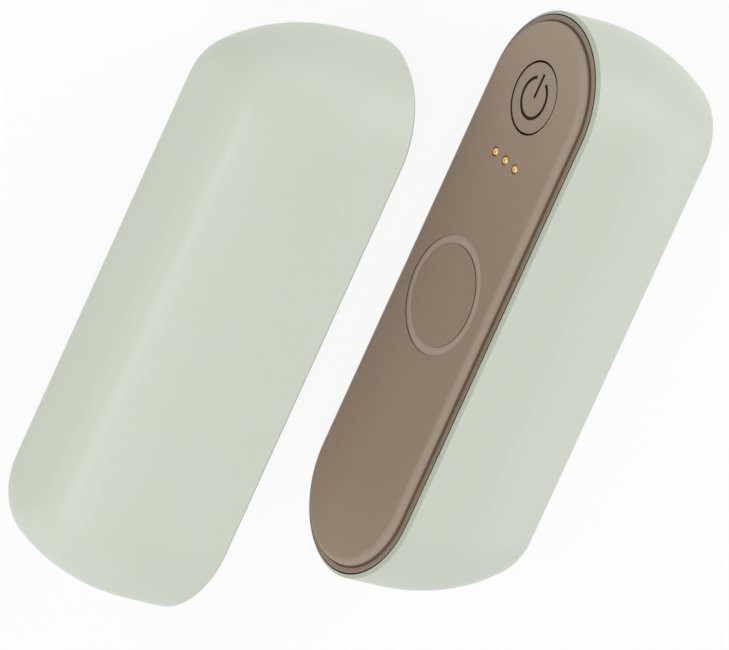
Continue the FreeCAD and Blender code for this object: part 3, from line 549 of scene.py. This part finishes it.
for half in HALVES:
    bm = bmesh.new()
    sweep_slot(
        bm, FACE, (face, plateau_half - plateau_round),
        (face + plateau_round, plateau_half - plateau_round, 90 - crease_turn))
    # The shoulder's foot and the crease take the darker brown: painted shade.
    sweep_slot(
        bm, CREASE_SHADE, tuple(shoulder_foot),
        (face + plateau_round, plateau_half - plateau_round, crease_turn),
        (crease_depth, plateau_half),
        (crease_depth, plateau_half + crease_width),
        (crease_round, plateau_half + crease_width))
    # The ledge takes the darker brown: painted shade.
    sweep_slot(
        bm, LEDGE_SHADE, (crease_round, plateau_half + crease_width),
        (crease_round, plateau_half + crease_width + crease_round, 90),
        (0, plate_half - plate_edge_round),
        (plate_edge_round, plate_half - plate_edge_round, 90))
    # The plate's edge, down in the gap to the lip, and its hidden back are near black: painted shade.
    sweep_slot(
        bm, CUT_SHADE, (plate_edge_round, plate_half),
        (plate_thick, plate_half),
        (plate_thick, plate_hollow),
        (plate_inside, plate_hollow))

    turn_round(
        bm, FACE, (face, 0),
        (face, ring_inside - edge_round),
        (edge_top, ring_inside - edge_round, 90), y=ring_place)
    # The ring's two walls are near black: painted shade.
    turn_round(bm, CUT_SHADE, (edge_top, ring_inside), (ring_floor, ring_inside), y=ring_place)
    turn_round(bm, POLISHED, (ring_floor, ring_inside), (ring_floor, ring_radius), y=ring_place)
    turn_round(bm, CUT_SHADE, (ring_floor, ring_radius), (edge_top, ring_radius), y=ring_place)
    turn_round(bm, FACE, (edge_top, ring_radius), (edge_top, ring_radius + edge_round, 90), y=ring_place)

    turn_round(
        bm, FACE, (face, dish_radius),
        (dish_floor, dish_radius - dish_slope),
        (dish_floor, hole_radius + edge_round),
        (dish_floor + edge_round, hole_radius + edge_round, -90), y=button_place)
    # The walls of the button hole, and of the contact holes below, are near black: painted shade.
    turn_round(bm, CUT_SHADE, (dish_floor + edge_round, hole_radius), (plate_inside, hole_radius), y=button_place)
    for step in (-1, 0, 1):
        at = {"y": contact_place, "z": step * contact_pitch, "steps": PIN_STEPS}
        turn_round(
            bm, FACE, (face, contact_hole + edge_round),
            (edge_top, contact_hole + edge_round, -90), **at)
        turn_round(bm, CUT_SHADE, (edge_top, contact_hole), (plate_inside, contact_hole), **at)
    fill_flat(bm, face)
    fill_flat(bm, plate_inside)
    new_piece(bm, half + "_plate", half, half + "_half",
              [matt_moulding, cut_painted_shade, polished_moulding, crease_painted_shade, ledge_painted_shade],
              half + "_face_plate")

# Power button: a round cap moulded in the plate's plastic, just below the face, with a sunk power symbol.
# A flange behind the plate keeps it in, and its stem pushes the switch.
button_front = (button_low.x - rim_low.x) / METRES
button_round = 0.08
flange_radius = (button_high.y - button_low.y) / 2 / METRES
flange_front = 0.2
flange_back = 0.9
stem_radius = 1.5
stem_back = (button_high.x - rim_low.x) / METRES
symbol_radius = 3.5
symbol_stroke = 0.6
symbol_depth = 0.3
symbol_bar = 4.4
symbol_opening = 50


def sink(bm, edges, depth, number):
    """Cut a closed outline into the face: walls straight down from it and a flat floor."""
    walls = bmesh.ops.extrude_edge_only(bm, edges=edges)["geom"]
    verts = only(bmesh.types.BMVert, walls)
    bmesh.ops.translate(bm, verts=verts, vec=(depth, 0, 0))
    floor = bmesh.ops.contextual_create(bm, geom=edges_among(verts))["faces"]
    for item in only(bmesh.types.BMFace, walls) + floor:
        item.material_index = number


for half in HALVES:
    bm = bmesh.new()
    turn_round(
        bm, FACE, (button_front, button_radius - button_round),
        (button_front + button_round, button_radius - button_round, 90))
    # The cap's side in the gap round it, and the hidden flange and stem, are near black: painted shade.
    turn_round(
        bm, CUT_SHADE, (button_front + button_round, button_radius),
        (flange_front, button_radius),
        (flange_front, flange_radius),
        (flange_back, flange_radius),
        (flange_back, stem_radius),
        (stem_back, stem_radius),
        (stem_back, 0))

    # The symbol's ring and bar are sunk with near-black walls and floors: painted shade.
    half_opening = math.radians(symbol_opening / 2)
    ends = []
    arcs = []
    for radius in (symbol_radius - symbol_stroke / 2, symbol_radius + symbol_stroke / 2):
        before = set(bm.edges)
        first = bm.verts.new((
            button_front, radius * math.cos(half_opening), radius * math.sin(half_opening)))
        last = bmesh.ops.spin(
            bm, geom=[first], cent=(button_front, 0, 0), axis=(1, 0, 0),
            angle=2 * (math.pi - half_opening), steps=TURN_STEPS)["geom_last"][0]
        arcs += [edge for edge in bm.edges if edge not in before]
        ends.append((first, last))
    arcs += [bm.edges.new(pair) for pair in zip(*ends)]
    sink(bm, arcs, symbol_depth, CUT_SHADE)
    corners = [(0, -1), (symbol_bar, -1), (symbol_bar, 1), (0, 1)]
    bar = [bm.verts.new((button_front, y, side * symbol_stroke / 2)) for y, side in corners]
    sink(bm, [bm.edges.new((bar[i - 1], bar[i])) for i in range(len(bar))], symbol_depth, CUT_SHADE)
    fill_flat(bm, button_front)
    bmesh.ops.translate(bm, verts=bm.verts, vec=(0, button_place, 0))
    new_piece(bm, half + "_button", half, half + "_button", [matt_moulding, cut_painted_shade],
              half + "_power_button")

# Studio: a plain white paper floor under soft lamps. The camera has a long lens, as the photograph's has.
# Where the camera or a shiny surface sees the paper or the room, they are white.
AMBIENT = 0.39
PAPER_WHITE = 0.9
FLOOR_REACH = 4.0
# The paper lies a hair below the flanks, so that it shares no plane with them.
FLOOR_DROP = 0.00005
floor_mesh = bpy.data.meshes.new("floor")
bm = bmesh.new()
bmesh.ops.create_grid(bm, size=FLOOR_REACH)
bmesh.ops.translate(bm, verts=bm.verts, vec=(0, 0, -FLOOR_DROP))
bm.to_mesh(floor_mesh)
bm.free()
floor = bpy.data.objects.new("floor", floor_mesh)
bpy.context.scene.collection.objects.link(floor)


def seen_rays(tree):
    """1 for rays from the camera, from a shiny surface or through glass, and 0 for the light that falls."""
    paths = add_node(tree, "ShaderNodeLightPath", {}).outputs
    seen = add_node(tree, "ShaderNodeMath", {0: paths["Is Camera Ray"], 1: paths["Is Glossy Ray"]},
                    operation="MAXIMUM")
    return add_node(tree, "ShaderNodeMath", {0: seen.outputs[0], 1: paths["Is Transmission Ray"]},
                    operation="MAXIMUM").outputs[0]


white_paper = bpy.data.materials.new("white paper sweep")
white_paper.use_nodes = True
tree = white_paper.node_tree
tree.nodes.clear()
share = add_node(tree, "ShaderNodeMath", {0: seen_rays(tree), 1: PAPER_WHITE}, operation="MULTIPLY")
paper = add_node(tree, "ShaderNodeBsdfDiffuse", {"Color": srgb("#F4F4F2")})
white = add_node(tree, "ShaderNodeEmission", {"Color": (1, 1, 1, 1), "Strength": 1.0})
mixed = add_node(tree, "ShaderNodeMixShader", {
    "Fac": share.outputs[0], 1: paper.outputs["BSDF"], 2: white.outputs["Emission"]})
add_node(tree, "ShaderNodeOutputMaterial", {"Surface": mixed.outputs["Shader"]})
floor_mesh.materials.append(white_paper)

world = bpy.data.worlds.new("studio")
world.use_nodes = True
tree = world.node_tree
tree.nodes.clear()
level = add_node(tree, "ShaderNodeMapRange", {"Value": seen_rays(tree), "To Min": AMBIENT, "To Max": 1.0})
room = add_node(tree, "ShaderNodeBackground", {"Color": (1, 1, 1, 1), "Strength": level.outputs["Result"]})
add_node(tree, "ShaderNodeOutputWorld", {"Surface": room.outputs["Background"]})
bpy.context.scene.world = world


def add_lamp(name, direction, distance, length, width, watts):
    """A soft box of a length and a width in metres, turned towards the middle of the object."""
    lamp = bpy.data.lights.new(name, "AREA")
    lamp.shape = "RECTANGLE"
    lamp.size = length
    lamp.size_y = width
    lamp.energy = watts
    item = bpy.data.objects.new(name, lamp)
    item.location = Vector(direction) * distance + Vector((0, 0, half_width * METRES))
    item.rotation_mode = "QUATERNION"
    item.rotation_quaternion = (-Vector(direction)).to_track_quat("-Z", "Y")
    bpy.context.scene.collection.objects.link(item)


# The long one stands where the left half's back throws it to the camera, as one even strip of light.
add_lamp("strip box", (-0.645, -0.26, 0.72), distance=0.8, length=1.0, width=0.4, watts=3.5)

# Four square ones fill in from a corner, from both ends and from the right side.
BOX_DISTANCE = 0.9
BOX_SIZE = 0.6
for name, direction, watts in (
        ("corner box", (0.6, 0.6, 0.53), 2.1),
        ("far box", (0, 0.95, 0.31), 1.3),
        ("near box", (0, -0.95, 0.31), 0.8),
        ("side box", (0.95, 0, 0.31), 1.2)):
    add_lamp(name, direction, BOX_DISTANCE, BOX_SIZE, BOX_SIZE, watts)

# The camera's place follows from where it sees the middle of the right half's rim: so many millimetres to
# the right of the picture's middle, above it, and away from the lens.
IMAGE_WIDTH = 729
SENSOR_WIDTH = 36.0
FOCAL_PIXELS = 20000
VIEW_REACH = 20
rim_to_right = 14.4
rim_above = 5.1
rim_away = 3330.1
camera_right = Vector((0.7961, 0.4015, 0.4527)).normalized()
camera_away = Vector((0.5726, -0.2580, -0.7781)).normalized()
camera_down = camera_away.cross(camera_right).normalized()
rim_middle = seat["right"].to_translation()
rim_seen = (rim_to_right * camera_right - rim_above * camera_down + rim_away * camera_away) * METRES
camera_data = bpy.data.cameras.new("camera")
camera_data.sensor_fit = "HORIZONTAL"
camera_data.sensor_width = SENSOR_WIDTH
camera_data.lens = FOCAL_PIXELS * SENSOR_WIDTH / IMAGE_WIDTH
camera_data.clip_end = VIEW_REACH
camera = bpy.data.objects.new("camera", camera_data)
axes = Matrix((camera_right, -camera_down, -camera_away)).transposed()
camera.matrix_world = Matrix.Translation(rim_middle - rim_seen) @ axes.to_4x4()
bpy.context.scene.collection.objects.link(camera)
bpy.context.scene.camera = camera
bpy.context.scene.view_settings.view_transform = "Standard"
